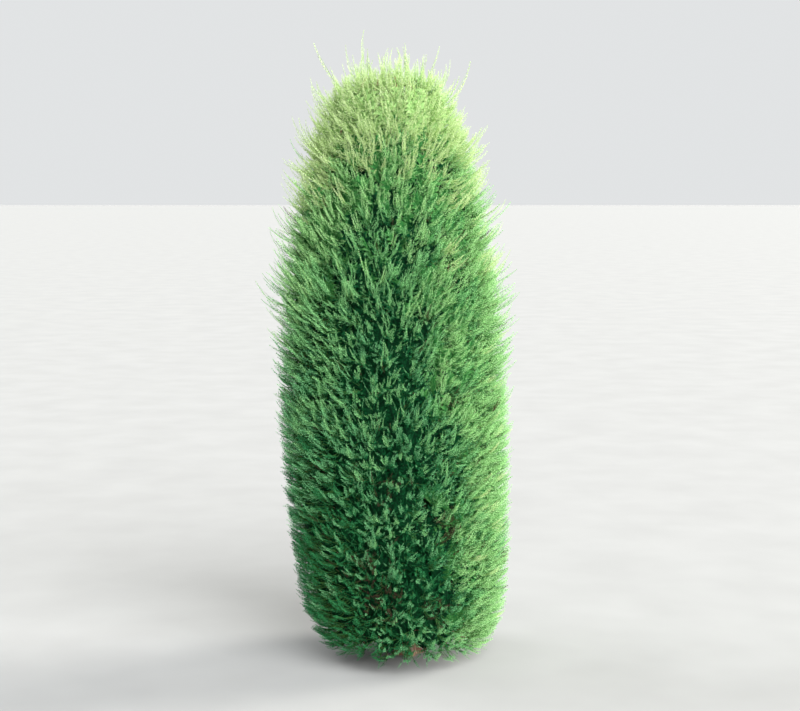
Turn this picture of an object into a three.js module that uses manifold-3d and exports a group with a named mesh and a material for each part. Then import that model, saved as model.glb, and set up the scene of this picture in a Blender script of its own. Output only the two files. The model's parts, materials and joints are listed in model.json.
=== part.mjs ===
// An Irish juniper: a narrow, dense, upright conifer, about two metres tall, rooted in level ground.
// One trunk runs up through the crown. Steep boughs leave it in tiers, and each ends in a mass of needled
// shoots. A mass has a dense core, one stem, twigs that branch from the stem, and toothed sprays of needles
// that stand out of the core. The topmost mass carries the leader on above the trunk's tip.
// Millimetres, +Z up. The origin is the middle of the trunk's flat cut at ground level.

import * as THREE from "three";
import { mergeVertices } from "three/addons/utils/BufferGeometryUtils.js";
import Module from "manifold-3d";

const wasm = await Module();
wasm.setup();

// Driving sizes of the whole plant
const plantHeight = 2000; // to the tip of the highest shoot
const crownFoot = 45; // the lowest needles stand this far above the ground
const crownOutline = [
  // heights, each with the dense crown's radius there
  [crownFoot, 262],
  [100, 295],
  [165, 320],
  [245, 334],
  [360, 345],
  [740, 362],
  [1150, 342],
  [1310, 318],
  [1480, 286],
  [1680, 243],
  [1770, 205],
  [1850, 156],
  [1900, 108],
  [1940, 60],
  [1965, 15],
];
const coreHeight = 1895; // of the topmost mass's dense core
const tipReach = 44; // the furthest tips stand this far out of the dense crown
const crownLean = 56; // the crown's axis bends this far towards -X ...
const leanHeight = 1500; // ... by this height, and is upright above it

// Tiers of boughs and the spaces that their masses keep to
const tierCount = 4;
const boughsPerTier = 5;
const shoulderHeight = 1690; // where the topmost mass begins, on the outline
const riseOfTiers = { low: 1, high: 1.25 }; // a tier's floor rises this much for each millimetre outwards
const tierWave = 34; // and waves up and down by this much, over the middles of the masses below it
const tierTurn = 1.04; // each tier is turned this far from the one below, in radians
const seamTwist = 0.001; // the sides of a space wind round the trunk, in radians for each millimetre up
const innerRadius = 112; // the clear well round the trunk, where the boughs run
const massGap = 7; // clear space between neighbouring masses
const coreShare = 0.8; // a dense core's reach, as a share of the crown's radius
const coreLumps = 24; // how uneven a core's face is
const coreFlatness = 4; // smaller features of a core are smoothed away
const contactGap = 0.3; // where one piece meets the next

// Trunk and boughs
const trunkRadius = 31; // above the root flare
const trunkTipRadius = 5;
const flareRadius = 17; // added at the ground
const flareFade = 55; // height over which the root flare dies away
const flareLobes = 5;
const boughTipReach = 104; // distance of a bough's tip from the axis
const boughRise = 150; // from where a bough leaves the trunk to its tip
const lowBoughRise = 70; // the lowest boughs start just above the root flare
const boughRadius = { base: 11, tip: 5.5 }; // on the lowest tier
const boughThinning = 0.14; // share of that radius that each higher tier loses

// Twigs and sprays
const leaderTwigs = 9; // of the topmost mass
const twigsPerMass = 4; // side by side, each rising behind the face of the core
const spraysPerTwig = 5; // one above another, to the left and right by turns
const twigRadius = 3.2;
const sprayClimb = { least: 120, most: 160 }; // height of a spray's tip above its root, less at the foot
const spraySpread = 0.2; // and is turned up to this far round the trunk, in radians
const sprayHalfWidth = 0.22; // these two are shares of the spray's length
const sprayHalfThickness = 0.035;
const longShootWidth = 0.55; // long shoots are slimmer

// Long shoots that stand out of the sides, and of the top round the leader's tip.
const longShoots = [
  { bearing: 3.14, height: 1212, reach: 96 },
  { bearing: 0.15, height: 1462, reach: 104 },
  { bearing: 0.3, height: 1129, reach: 70 },
  { bearing: 3, height: 1660, reach: 72 },
  { bearing: 1.9, height: 1140, reach: 66 },
  { bearing: -2.1, height: 1490, reach: 58 },
  { bearing: -0.6, height: 930, reach: 60 },
];
const leaderShoots = [
  { bearing: 2.9, height: plantHeight, reach: 82 },
  { bearing: -2.75, height: 1948, reach: 250 },
  { bearing: 0.2, height: 1904, reach: 262 },
  { bearing: -0.35, height: 1942, reach: 166 },
  { bearing: -2.6, height: 1944, reach: 156 },
  { bearing: 1.5, height: 1952, reach: 120 },
  { bearing: -1, height: 1950, reach: 90 },
];
const smallestEdge = 0.05; // finer slivers along a seam are closed up

// A small repeatable source of numbers from 0 to 1.
function seeded(seed) {
  let state = seed;
  return () => {
    state = (state * 1664525 + 1013904223) % 4294967296;
    return state / 4294967296;
  };
}

const up = new THREE.Vector3(0, 0, 1);
const mix = THREE.MathUtils.lerp;
const smooth = (t) => THREE.MathUtils.smoothstep(t, 0, 1);

// Radius of the dense crown at a height.
function crownRadiusAt(z) {
  const above = crownOutline.findIndex(([height]) => height >= z);
  if (above < 0) return 0;
  if (above === 0) return crownOutline[0][1];
  const [lowHeight, lowRadius] = crownOutline[above - 1];
  const [highHeight, highRadius] = crownOutline[above];
  return mix(lowRadius, highRadius, (z - lowHeight) / (highHeight - lowHeight));
}

// The crown's axis, which leans at the foot and is upright higher up.
const axisX = (z) => -crownLean * Math.sin((Math.PI / 2) * Math.min(z / leanHeight, 1));

// A point given by its distance from the axis, its bearing and its height.
const around = (r, bearing, z) =>
  new THREE.Vector3(axisX(z) + r * Math.cos(bearing), r * Math.sin(bearing), z);
const outwardAt = (point) => new THREE.Vector3(point.x - axisX(point.z), point.y, 0).normalize();

// Floor of a tier: flat for the lowest, and a funnel with a wavy rim for the others.
const outlineHeightOf = (tier) => mix(crownFoot, shoulderHeight, tier / tierCount);
const halfTierTwist = (seamTwist * (shoulderHeight - crownFoot)) / tierCount / 2;
function floorOf(tier, r, bearing) {
  if (tier === 0) return crownFoot;
  const edge = outlineHeightOf(tier);
  const wave = Math.cos(boughsPerTier * (bearing - (tier - 1) * tierTurn - halfTierTwist));
  const rise = mix(riseOfTiers.low, riseOfTiers.high, (tier - 1) / (tierCount - 1));
  return edge - rise * (crownRadiusAt(edge) - r) + tierWave * wave * (r / crownRadiusAt(edge)) ** 2;
}

// Solids from geometry, and back

function solidFrom(geometry) {
  const bare = geometry.clone().deleteAttribute("normal").deleteAttribute("uv");
  const merged = mergeVertices(bare, 1e-3);
  return new wasm.Manifold(
    new wasm.Mesh({
      numProp: 3,
      vertProperties: new Float32Array(merged.attributes.position.array),
      triVerts: new Uint32Array(merged.index.array),
    }),
  );
}

function geometryFrom(solid) {
  const mesh = solid.getMesh();
  const geometry = new THREE.BufferGeometry();
  geometry.setAttribute("position", new THREE.BufferAttribute(mesh.vertProperties, 3));
  geometry.setIndex(new THREE.BufferAttribute(mesh.triVerts, 1));
  geometry.computeVertexNormals();
  return geometry;
}

// Moves every vertex of a geometry by a rule that is given the vertex and its number.
function reshaped(geometry, rule) {
  const position = geometry.getAttribute("position");
  const vertex = new THREE.Vector3();
  for (let i = 0; i < position.count; i++) {
    const moved = rule(vertex.fromBufferAttribute(position, i), i);
    position.setXYZ(i, moved.x, moved.y, moved.z);
  }
  return geometry;
}

// A limb along a curve: a cylinder whose rings are set across the curve, and taper evenly.
function limb(curve, startRadius, endRadius, sides, steps) {
  const frames = curve.computeFrenetFrames(steps, false);
  const cylinder = new THREE.CylinderGeometry(1, 1, 1, sides, steps);
  return solidFrom(
    reshaped(cylinder, (v) => {
      const share = v.y + 0.5;
      const ring = Math.round(share * steps);
      const radius = mix(startRadius, endRadius, share);
      return curve
        .getPointAt(share)
        .addScaledVector(frames.normals[ring], v.x * radius)
        .addScaledVector(frames.binormals[ring], -v.z * radius);
    }),
  );
}

// A spray of needles as a toothed blade. The outline runs from the root round one side to the tip and back,
// as shares of the length and of the half width; the blade is thickest in the middle and sharp at the edge.
const sprayOutline = [
  [0, 0],
  [0.64, 1],
  [0.56, 0.4],
  [1, 0],
  [0.56, -0.4],
  [0.64, -1],
];
const sprayMiddle = 0.44; // share of the length where the blade is thickest

function spray(root, tip, roll, width = 1) {
  const points = sprayOutline.length;
  const ball = new THREE.SphereGeometry(1, points, 2);
  const length = root.distanceTo(tip);
  const direction = tip.clone().sub(root).normalize();
  const across = new THREE.Vector3().crossVectors(up, direction).normalize().applyAxisAngle(direction, roll);
  const normal = new THREE.Vector3().crossVectors(direction, across);
  return solidFrom(
    reshaped(ball, (v, i) => {
      const isPole = Math.abs(v.y) > 0.5;
      const [along, wide] = isPole ? [sprayMiddle, 0] : sprayOutline[i % (points + 1) % points];
      return root
        .clone()
        .addScaledVector(direction, along * length)
        .addScaledVector(across, wide * sprayHalfWidth * width * length)
        .addScaledVector(normal, isPole ? -v.y * sprayHalfThickness * length : 0);
    }),
  );
}

// Trunk and boughs

const trunkTop = floorOf(tierCount, 0, 0) + 30;

function trunkRadiusAt(z, bearing) {
  const taper = mix(trunkRadius, trunkTipRadius, (z / trunkTop) ** 0.9);
  const flare = flareRadius * Math.exp(-z / flareFade);
  return taper + flare * (1 + 0.35 * Math.cos(flareLobes * bearing));
}

// The trunk's rings are level, so that its cut at the ground is flat. They stand closer near the ground.
function trunkSolid(extra = 0) {
  const cylinder = new THREE.CylinderGeometry(1, 1, 1, 15, 11).rotateX(Math.PI / 2);
  return solidFrom(
    reshaped(cylinder, (v) => {
      const z = trunkTop * (v.z + 0.5) ** 1.6;
      const bearing = Math.atan2(v.y, v.x);
      return around((trunkRadiusAt(z, bearing) + extra) * Math.hypot(v.x, v.y), bearing, z);
    }),
  );
}

// Each bough leaves the trunk outwards and bends up, and its tip stands in the clear well round the trunk.
function boughPlan(tier, place) {
  const bearing = tier * tierTurn + (place * 2 * Math.PI) / boughsPerTier;
  const stagger = ((place * 2) % boughsPerTier) * 9;
  const rise = tier === 0 ? lowBoughRise : boughRise;
  const tipHeight = tier === 0 ? crownFoot + rise + 38 : floorOf(tier, boughTipReach, bearing) + 72 + stagger;
  const thickness = 1 - boughThinning * tier;
  const steep = tier === 0 ? 0.95 : 1.15;
  const tipDirection = new THREE.Vector3(
    Math.cos(bearing) * Math.cos(steep),
    Math.sin(bearing) * Math.cos(steep),
    Math.sin(steep),
  );
  const tip = around(boughTipReach, bearing, tipHeight);
  const start = around(4, bearing, tipHeight - rise);
  const leaving = around(52, bearing, tipHeight - rise * 0.72);
  return {
    tier,
    place,
    bearing,
    tip,
    tipDirection,
    curve: new THREE.CubicBezierCurve3(start, leaving, tip.clone().addScaledVector(tipDirection, -50), tip),
    baseRadius: boughRadius.base * thickness,
    tipRadius: boughRadius.tip * thickness,
  };
}

const boughSolid = (plan, trunkWithGap) =>
  limb(plan.curve, plan.baseRadius, plan.tipRadius, 6, 3).subtract(trunkWithGap);

// Masses of needled shoots

// The bearing of the middle of a mass's space, which winds round the trunk with height.
const bearingOf = (mass, z) => mass.bearing + seamTwist * (z - outlineHeightOf(mass.tier + 0.5));

// A place in a mass's space: out and rise run from 0 to 1, and turn from -1 to 1 across its width.
function placeIn(mass, out, turn, rise, share = 1) {
  let z = outlineHeightOf(mass.tier + 0.5);
  let r = innerRadius;
  let bearing = mass.bearing;
  for (let pass = 0; pass < 6; pass++) {
    r = mix(innerRadius + massGap, crownRadiusAt(z) * share, out);
    bearing = bearingOf(mass, z) + turn * (Math.PI / boughsPerTier - massGap / 2 / r);
    z = mix(floorOf(mass.tier, r, bearing), floorOf(mass.tier + 1, r, bearing), rise);
  }
  return around(r, bearing, z);
}

// Whether a point lies in the mass's own space, with half the gap to its neighbours kept free.
function isInside(mass, point, reach = tipReach) {
  const r = Math.hypot(point.x - axisX(point.z), point.y);
  const bearing = Math.atan2(point.y, point.x - axisX(point.z));
  const turned = bearing - bearingOf(mass, point.z);
  const offset = Math.abs(Math.atan2(Math.sin(turned), Math.cos(turned)));
  const sideGap = (Math.PI / boughsPerTier - offset) * r;
  const margin = massGap / 2;
  return (
    sideGap > margin &&
    r > innerRadius &&
    r < crownRadiusAt(point.z) + reach &&
    point.z > floorOf(mass.tier, r, bearing) + margin &&
    point.z < floorOf(mass.tier + 1, r, bearing) - margin
  );
}

// One random step in or out for each place on a core's face, the same wherever two of its faces meet there.
function lumpiness(random, inwards, outwards) {
  const lumps = new Map();
  return (v) => {
    const key = [v.x, v.y, v.z].map((c) => Math.round(c * 100)).join();
    if (!lumps.has(key)) lumps.set(key, mix(-inwards, outwards, random()) * coreLumps);
    return lumps.get(key);
  };
}

// The dense core: a block rounded at its edges and pressed into the mass's space, with a lumpy outer face.
function coreSolid(mass, random) {
  const squareness = 10;
  const lumpAt = lumpiness(random, 0.8, 0.7);
  const block = reshaped(new THREE.BoxGeometry(2, 2, 2, 3, 3, 1), (v) => {
    const lump = v.z > 0 ? lumpAt(v) : 0;
    const sum = Math.abs(v.x) ** squareness + Math.abs(v.y) ** squareness + Math.abs(v.z) ** squareness;
    const { x, y, z } = v.clone().divideScalar(sum ** (1 / squareness));
    const place = placeIn(mass, 0.5 + 0.5 * z, 0.98 * x, 0.5 + 0.46 * y, coreShare);
    return place.addScaledVector(outwardAt(place), lump);
  });
  return solidFrom(block).simplify(coreFlatness);
}

// A twig that leaves the stem and rises through the given places, and its sprays. Each spray's root is on the
// twig, and its tip stands out of the crown above. One that would leave the space is turned or shortened, and
// skipped if it still would.
function branchlet(start, places, random, inside) {
  const curve = new THREE.CatmullRomCurve3([start, ...places]);
  const solids = [limb(curve, twigRadius, twigRadius * 0.6, 3, 4)];
  for (let i = 0; i < spraysPerTwig; i++) {
    const root = curve.getPoint(mix(1 / places.length, 1, (i + mix(0.1, 0.6, random())) / spraysPerTwig));
    const bearing = Math.atan2(root.y, root.x - axisX(root.z));
    const turn = (i % 2 ? 1 : -1) * mix(0.2, 1, random()) * spraySpread;
    const steepness = mix(0.2, 1, smooth((root.z - crownFoot) / 280));
    const climb = mix(sprayClimb.least, sprayClimb.most, random()) * steepness;
    const reach = mix(-0.5, 0.95, random()) * tipReach;
    const roll = mix(-0.8, 0.8, random());
    for (const [turning, climbing] of [[1, 1], [-1, 1], [0, 0.85], [0, 0.65]]) {
      const z = root.z + climb * climbing;
      const blade = spray(root, around(crownRadiusAt(z) + reach, bearing + turn * turning, z), roll);
      if (!everyVertex(blade, inside)) continue;
      solids.push(blade);
      break;
    }
  }
  return solids;
}

function everyVertex(solid, test) {
  const { vertProperties } = solid.getMesh();
  const point = new THREE.Vector3();
  for (let i = 0; i < vertProperties.length; i += 3)
    if (!test(point.fromArray(vertProperties, i))) return false;
  return true;
}

// Fuses a mass into one closed body: loose scraps are dropped and sealed hollows are filled.
function fused(solids) {
  const bodies = wasm.Manifold.union(solids).simplify(smallestEdge).decompose();
  return bodies.reduce((largest, body) => (body.volume() > largest.volume() ? body : largest));
}

function massSolid(plan, seed) {
  const random = seeded(seed);
  const mass = { tier: plan.tier, bearing: plan.bearing };
  const stemStart = plan.tip.clone().addScaledVector(plan.tipDirection, contactGap);
  const stemEnd = placeIn(mass, 0.6, 0, 0.84, coreShare);
  const stemCurve = new THREE.CubicBezierCurve3(
    stemStart,
    stemStart.clone().addScaledVector(plan.tipDirection, 40),
    stemEnd.clone().add(new THREE.Vector3(0, 0, -110)),
    stemEnd,
  );
  const inside = (point) => isInside(mass, point);
  const solids = [coreSolid(mass, random), limb(stemCurve, plan.tipRadius, twigRadius, 6, 3)];
  for (let i = 0; i < twigsPerMass; i++) {
    const turn = mix(-0.98, 0.98, (i + mix(0.35, 0.65, random())) / twigsPerMass);
    const places = [0.08, 0.45, 0.88].map((rise) => placeIn(mass, 0.82, turn, rise, coreShare));
    const start = stemCurve.getPointAt(mix(0.25, 0.45, random()));
    solids.push(...branchlet(start, places, random, inside));
  }
  for (const { bearing, height, reach } of longShoots) {
    const tip = around(crownRadiusAt(height) + reach, bearing, height);
    const root = around(0.7 * crownRadiusAt(height), bearing, height - 115);
    const blade = spray(root, tip, 0.5, longShootWidth);
    if (everyVertex(blade, (point) => isInside(mass, point, reach + 1))) solids.push(blade);
  }
  return fused(solids);
}

// The topmost mass: a dome round the leader, above the funnel-shaped floor of its space.
function topMassSolid(seed) {
  const random = seeded(seed);
  const floorAt = (r, bearing) => floorOf(tierCount, r, bearing) + massGap / 2;
  const inside = (point) => {
    const r = Math.hypot(point.x - axisX(point.z), point.y);
    const bearing = Math.atan2(point.y, point.x - axisX(point.z));
    const widest = crownRadiusAt(shoulderHeight) + tipReach;
    return point.z > floorAt(r, bearing) && point.z <= plantHeight && r < widest;
  };
  const profile = [new THREE.Vector2(0, floorAt(0, 0) + 30)];
  for (const share of [0, 0.3, 0.68, 0.92]) {
    const z = mix(shoulderHeight, coreHeight, share);
    profile.push(new THREE.Vector2(coreShare * crownRadiusAt(z), z));
  }
  profile.push(new THREE.Vector2(0, coreHeight));
  const lumpAt = lumpiness(random, 1, 0.4);
  const core = reshaped(new THREE.LatheGeometry(profile, 9).rotateX(Math.PI / 2), (v) => {
    const r = Math.hypot(v.x, v.y);
    if (r < 1) return around(0, 0, v.z);
    const bearing = Math.atan2(v.y, v.x);
    const lump = lumpAt(v);
    const isRim = v.z < shoulderHeight + 1;
    return around(r + lump, bearing, isRim ? floorAt(r, bearing) + 22 : v.z);
  });
  const stemCurve = new THREE.LineCurve3(around(0, 0, trunkTop + contactGap), around(0, 0, coreHeight - 40));
  const solids = [solidFrom(core), limb(stemCurve, trunkTipRadius, twigRadius, 6, 2)];
  for (const { bearing, height, reach } of leaderShoots) {
    const root = around(reach * 0.32, bearing, height - 190);
    solids.push(spray(root, around(reach, bearing, height), 0.5, longShootWidth));
  }
  for (let i = 0; i < leaderTwigs; i++) {
    const bearing = ((i + mix(-0.2, 0.2, random())) * 2 * Math.PI) / leaderTwigs;
    const placeAt = (z, share) => around(share * crownRadiusAt(z), bearing, z);
    const places = [placeAt(shoulderHeight - 75, 0.62), placeAt(1730, 0.68), placeAt(1850, 0.5)];
    solids.push(...branchlet(stemCurve.getPointAt(0.3), places, random, inside));
  }
  return fused(solids);
}

// Materials, one for the wood and three greens from the crown's foot to its top

const material = (colour, roughness) =>
  new THREE.MeshStandardMaterial({ color: colour, roughness, metalness: 0, flatShading: true });
const bark = material(0x6b4a38, 0.9);
const deepNeedles = material(0x2c5e3d, 0.75);
const greenNeedles = material(0x4c8a4e, 0.75);
const brightNeedles = material(0x86b766, 0.75);
const needlesOfTier = [deepNeedles, deepNeedles, greenNeedles, greenNeedles];

// The plant

function build() {
  const plant = new THREE.Group();
  const add = (name, solid, finish) => {
    const mesh = new THREE.Mesh(geometryFrom(solid), finish);
    mesh.name = name;
    plant.add(mesh);
  };
  add("trunk", trunkSolid(), bark);
  const trunkWithGap = trunkSolid(contactGap);
  for (let tier = 0; tier < tierCount; tier++)
    for (let place = 0; place < boughsPerTier; place++) {
      const plan = boughPlan(tier, place);
      const label = `${tier + 1}_${place + 1}`;
      add(`bough_${label}`, boughSolid(plan, trunkWithGap), bark);
      add(`foliage_${label}`, massSolid(plan, 101 + tier * 17 + place * 5), needlesOfTier[tier]);
    }
  add("foliage_top", topMassSolid(909), brightNeedles);
  return plant;
}

export default build();
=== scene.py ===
# %% [markdown]
# # An upright juniper
# This lesson dresses a columnar juniper, two metres tall. On the real plant one slim trunk runs up inside a
# crown so dense that little else shows than needles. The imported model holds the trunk, twenty boughs and
# twenty-one masses of foliage as plain solids. Here the wood gets its bark, and each mass is replaced by the
# twigs and needled shoots that the same growing rule gives when it is carried further.

import json
import math
import random

import bpy
import numpy as np
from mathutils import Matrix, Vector, noise

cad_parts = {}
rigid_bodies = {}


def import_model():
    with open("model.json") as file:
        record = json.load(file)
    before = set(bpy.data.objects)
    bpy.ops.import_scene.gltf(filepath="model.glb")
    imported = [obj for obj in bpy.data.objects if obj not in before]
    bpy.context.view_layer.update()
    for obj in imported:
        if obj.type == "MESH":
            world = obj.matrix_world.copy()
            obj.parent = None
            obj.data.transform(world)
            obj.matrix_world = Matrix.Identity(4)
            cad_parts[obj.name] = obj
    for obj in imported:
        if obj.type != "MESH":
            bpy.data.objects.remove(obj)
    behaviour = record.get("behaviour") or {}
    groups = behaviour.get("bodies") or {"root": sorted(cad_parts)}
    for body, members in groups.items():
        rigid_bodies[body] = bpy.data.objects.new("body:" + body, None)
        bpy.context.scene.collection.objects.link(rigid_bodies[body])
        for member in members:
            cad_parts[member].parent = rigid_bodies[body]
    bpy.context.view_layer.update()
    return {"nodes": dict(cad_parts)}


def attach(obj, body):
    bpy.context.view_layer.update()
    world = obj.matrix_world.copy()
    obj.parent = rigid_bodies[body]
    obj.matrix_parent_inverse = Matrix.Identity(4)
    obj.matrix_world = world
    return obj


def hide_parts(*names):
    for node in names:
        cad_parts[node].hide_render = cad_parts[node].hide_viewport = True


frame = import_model()
bough_nodes = sorted(name for name in frame["nodes"] if name.startswith("bough_"))

# %% [markdown]
# ## The camera, the light and the floor
# The plant was seen from eye height, about five metres off, through a lens that is long enough to keep its
# sides upright. The camera comes first, because every later choice is judged through it. Sizes are worked
# out from an image of 800 by 711 pixels, so the horizon and the foot fall where they were seen.

# %% Place the camera
IMAGE_WIDTH = 800
IMAGE_HEIGHT = 711
SENSOR = 36
LENS = 70
EYE_HEIGHT = 1.5
DISTANCE = 4.95
HORIZON_ROW = 190
FOOT_COLUMN = 407


def add_object(name, data):
    thing = bpy.data.objects.new(name, data)
    bpy.context.collection.objects.link(thing)
    return thing


focal_pixels = LENS / SENSOR * IMAGE_WIDTH
pitch = math.atan((IMAGE_HEIGHT / 2 - HORIZON_ROW) / focal_pixels)
sideways = (IMAGE_WIDTH / 2 - FOOT_COLUMN) / focal_pixels * DISTANCE
camera_data = bpy.data.cameras.new("camera")
camera_data.lens = LENS
camera_data.sensor_width = SENSOR
camera = add_object("camera", camera_data)
camera.location = (sideways, -DISTANCE, EYE_HEIGHT)
camera.rotation_euler = (math.pi / 2 - pitch, 0, 0)
bpy.context.scene.camera = camera
print(f"camera pitched down by {math.degrees(pitch):.1f} degrees")

# %% [markdown]
# Soft studio light stands in for a garden sky. Far, broad lamps light the floor evenly out to the horizon,
# which a panel close by would not. The strongest comes low from the right and a little behind, as the sun
# did, and draws a bright band down that side. A weak one stands high at the left, and a broad one at the
# front right opens up the face of the plant without filling the dark gaps.


# %% Light the stage
def on_ring(radius, bearing, height=0):
    """A place at a distance, bearing and height from the origin."""
    return Vector((radius * math.cos(bearing), radius * math.sin(bearing), height))


def add_lamp(name, bearing, elevation, strength, colour, breadth):
    """A far lamp: its bearing, elevation and breadth are in degrees, its strength in watts a square metre."""
    light = bpy.data.lights.new(name, "SUN")
    light.angle = math.radians(breadth)
    light.energy = strength
    light.color = colour
    towards = on_ring(1, math.radians(bearing), math.tan(math.radians(elevation)))
    lamp = add_object(name, light)
    lamp.rotation_euler = (-towards).to_track_quat("-Z", "Y").to_euler()


add_lamp("right_lamp", 22, 16, 7.6, (1.0, 0.98, 0.92), breadth=30)
add_lamp("left_lamp", 155, 40, 1.5, (0.97, 0.99, 1.0), breadth=35)
add_lamp("front_lamp", -60, 36, 6.6, (0.98, 0.99, 1.0), breadth=50)

world = bpy.data.worlds.new("pale_studio")
world.use_nodes = True
sky = world.node_tree.nodes["Background"].inputs
sky["Color"].default_value = (0.97, 0.99, 1.0, 1)
sky["Strength"].default_value = 0.78
bpy.context.scene.world = world
bpy.context.scene.view_settings.view_transform = "Standard"
print("three lamps and a pale sky")

# %% [markdown]
# ## Nodes written as sums
# Two small classes keep the node trees readable. A `Wire` stands for one output socket, and a sum of wires
# adds its Math nodes. A `Recipe` adds any other node in one call: its settings come first, and then the
# values or wires of its sockets. Materials and geometry trees are both written so.


# %% Wires and recipes
def arithmetic(operation, swapped=False):
    """An operator for wires that adds the Math node of that name."""

    def method(wire, other):
        pair = (other, wire) if swapped else (wire, other)
        return wire.recipe.add("ShaderNodeMath", {"operation": operation}, dict(enumerate(pair)))

    return method


class Wire:
    __add__ = arithmetic("ADD")
    __radd__ = arithmetic("ADD", swapped=True)
    __sub__ = arithmetic("SUBTRACT")
    __rsub__ = arithmetic("SUBTRACT", swapped=True)
    __mul__ = arithmetic("MULTIPLY")
    __rmul__ = arithmetic("MULTIPLY", swapped=True)
    __truediv__ = arithmetic("DIVIDE")

    def __init__(self, recipe, socket):
        self.recipe = recipe
        self.socket = socket

    def also(self, name):
        """Another output of the same node."""
        return Wire(self.recipe, self.socket.node.outputs[name])

    def into(self, node, key):
        """Links this output to an input of another node."""
        self.recipe.tree.links.new(self.socket, node.inputs[key])


class Recipe:
    def __init__(self, tree):
        self.tree = tree

    def add(self, kind, settings=None, sockets=None, output=0):
        node = self.tree.nodes.new(kind)
        for name, value in (settings or {}).items():
            setattr(node, name, value)
        for key, value in (sockets or {}).items():
            if isinstance(value, Wire):
                value.into(node, key)
            else:
                node.inputs[key].default_value = value
        return Wire(self, node.outputs[output])


# %% [markdown]
# ## Needle colours
# A juniper's needles are blue-green while young ones are yellow-green. A pattern on a million tiny faces
# would be lost, so each colour is a material of its own, dealt out by shoot. In it the colour runs from dark
# to light by a number that each needle carries, 0 at its foot and 1 at its tip, so each needle's foot has
# painted shade and its tip a painted highlight. A fine noise keeps neighbours apart. Light needles are a
# little rougher.


# %% A material for needles
def hex_colour(code):
    """Linear red, green and blue from a hex code."""
    parts = [int(code[i : i + 2], 16) / 255 for i in (0, 2, 4)]
    return [c / 12.92 if c <= 0.04045 else ((c + 0.055) / 1.055) ** 2.4 for c in parts]


def new_material(name, preview):
    material = bpy.data.materials.new(name)
    material.use_nodes = True
    material.diffuse_color = (*preview, 1)
    recipe = Recipe(material.node_tree)
    shader = material.node_tree.nodes["Principled BSDF"]
    place = recipe.add("ShaderNodeTexCoord", output=3)
    return material, recipe, shader, place


def noise_on(place, scale, detail=2.0):
    return place.recipe.add("ShaderNodeTexNoise", sockets={"Vector": place, "Scale": scale, "Detail": detail})


def ramp(tone, stops):
    """The colours of a tone, from pairs of tone and colour."""
    ramped = tone.recipe.add("ShaderNodeValToRGB", sockets={"Fac": tone})
    elements = ramped.socket.node.color_ramp.elements
    while len(elements) < len(stops):
        elements.new(0.5)
    for element, (position, colour) in zip(elements, stops):
        element.position = position
        element.color = (*colour, 1)
    return ramped


def needle_material(name, dark, light, roughness=0.5):
    material, recipe, shader, place = new_material(name, hex_colour(light))
    along = recipe.add("ShaderNodeAttribute", {"attribute_name": "along"}, output=2)
    drift = noise_on(place, 200.0, 1.0)
    # Painted shade at each needle's foot and a painted highlight at its tip, with a noise for random tone.
    tone = 0.75 * along + 1.6 * (drift - 0.5)
    ramp(tone, [(0.0, hex_colour(dark)), (0.62, hex_colour(light))]).into(shader, "Base Color")
    (roughness + 0.25 * drift).into(shader, "Roughness")
    shader.inputs["Specular IOR Level"].default_value = 0.1
    return material


# The dark and light end of each colour, and its roughness where it is dull.
NEEDLE_LOOKS = {
    "lime": ("a6c27a", "c8d8a6"),
    "fresh": ("569848", "b8e2a0"),
    "green": ("1c6c30", "a0dc96"),
    "blue": ("0a522c", "88d090"),
    "deep": ("024020", "40985c"),
    # Lighter copies of the shaded sprays' colour, painted where a place is lit.
    "moss": ("769c58", "9cbe7a"),
    "fern": ("225e2a", "548e4c"),
    "shade": ("00200e", "084824", 0.7),
    "dead": ("2a1e18", "4c362c", 0.7),
}
needle_colours = {name: needle_material(name + "_needles", *look) for name, look in NEEDLE_LOOKS.items()}
print(f"{len(needle_colours)} needle colours")

# %% [markdown]
# ## Bark
# Juniper bark is reddish brown and peels in thin lengthwise strips with grey weathered edges. The strips are
# long streaks along the limb, so the noise that colours them is stretched along the height. The deep cracks
# between strips are in the mesh itself, and a bump only adds the fibres.


# %% A material for bark
def bark_material():
    material, recipe, shader, place = new_material("juniper_bark", hex_colour("6b4a38"))
    along = recipe.add("ShaderNodeMapping", sockets={"Vector": place, "Scale": (1.0, 1.0, 0.12)})
    strips = noise_on(along, 130.0, 4.0)
    shade = 0.7 * strips + 0.3 * noise_on(place, 14.0)
    codes = {0.32: "2e1c14", 0.46: "6a4331", 0.56: "8a6650", 0.68: "a59484"}
    ramp(shade, [(tone, hex_colour(code)) for tone, code in codes.items()]).into(shader, "Base Color")
    (0.78 + 0.2 * strips).into(shader, "Roughness")
    fibres = recipe.add("ShaderNodeBump", sockets={"Height": strips, "Strength": 0.5, "Distance": 0.002})
    fibres.into(shader, "Normal")
    return material


bark = bark_material()

# %% [markdown]
# ## The rule of the crown
# The crown is a turned outline round an axis that leans near the foot. Everything on it is placed by a
# distance from the axis, a bearing and a height. Four tiers of five masses share it, and their floors are
# funnels with a wavy rim. These are the model's own driving sizes, in metres, so what grows here keeps to
# the places of the solids that it replaces.

# %% Outline, axis and tiers
CROWN_FOOT = 0.045
SHOULDER_HEIGHT = 1.690
# Heights, each with the crown's radius there.
CROWN_OUTLINE = [
    (0.045, 0.262), (0.100, 0.295), (0.165, 0.320), (0.245, 0.334), (0.360, 0.345),
    (0.740, 0.362), (1.150, 0.342), (1.310, 0.318), (1.480, 0.286), (1.680, 0.243),
    (1.770, 0.205), (1.850, 0.156), (1.900, 0.108), (1.940, 0.060), (1.965, 0.015),
]
CROWN_LEAN = 0.056
LEAN_HEIGHT = 1.5
TIERS = 4
PLACES = 5
TIER_RISE = (1.0, 1.25)
TIER_WAVE = 0.034
TIER_TURN = 1.04
SEAM_TWIST = 1.0
INNER_RADIUS = 0.112
MASS_GAP = 0.007
CORE_SHARE = 0.8
TIP_REACH = 0.044

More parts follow.
